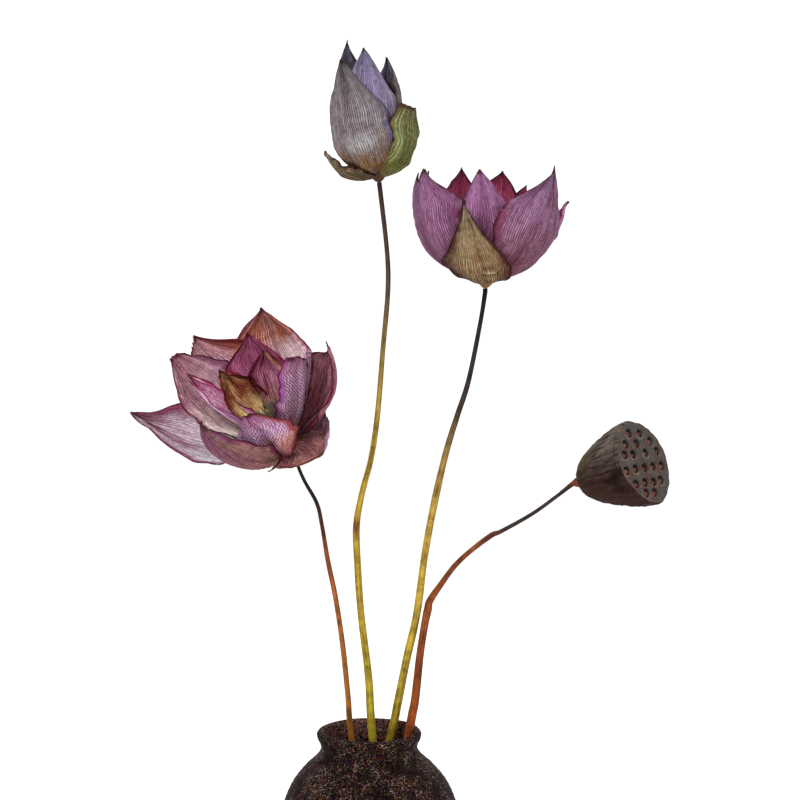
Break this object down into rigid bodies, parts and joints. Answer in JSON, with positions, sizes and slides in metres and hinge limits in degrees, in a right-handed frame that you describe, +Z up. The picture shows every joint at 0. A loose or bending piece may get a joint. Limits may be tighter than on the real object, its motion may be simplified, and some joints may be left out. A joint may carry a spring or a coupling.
{
  "type": "dried lotus flower arrangement",
  "caption": "Dried lotus stems with open flower, cupped flower, closed bud and a seed pod, standing in a dark glazed stoneware vase",
  "frame": {"origin": "middle of the vase's foot, on the surface it stands on", "axes": "+Z up along the vase and stems, -Y towards the front, where the pod's face and the open flower look, +X to the right"},
  "size_m": [0.4491, 0.1704, 0.761],
  "materials": {
    "glaze": "dark brown-black mottled glaze, glossy",
    "stem": "dried stalk, black-brown above and golden yellow to orange below, fine lengthways grain",
    "petal_mauve": "dried mauve-beige petal with fine ribs and darker edges, matt",
    "petal_pink": "dried magenta-pink petal with fine pale ribs, matt",
    "petal_grey": "dried purple-grey petal with fine ribs and a golden-brown base, matt",
    "sepal_green": "dried yellow-green sepal with brown edges, matt",
    "guard_tan": "dried tan outer petal with turned dark red edges, matt",
    "calyx_orange": "dried orange-brown flower base, matt",
    "heart_gold": "golden-brown dried receptacle and stamens, matt",
    "pod_grey": "dark grey-brown wrinkled pod, matt"
  },
  "bodies": {
    "root": {"vase": "glaze", "open_stem": "stem", "bud_stem": "stem", "cup_stem": "stem", "pod_stem": "stem", "open_bloom_calyx": "calyx_orange", "open_bloom_petals": "petal_mauve", "open_bloom_heart": "heart_gold", "cup_bloom_guard_petal": "guard_tan", "cup_bloom_petals": "petal_pink", "cup_bloom_heart": "heart_gold", "bud_sepals": "sepal_green", "bud_petals": "petal_grey", "bud_heart": "heart_gold", "seed_pod": "pod_grey"}
  },
  "joints": []
}
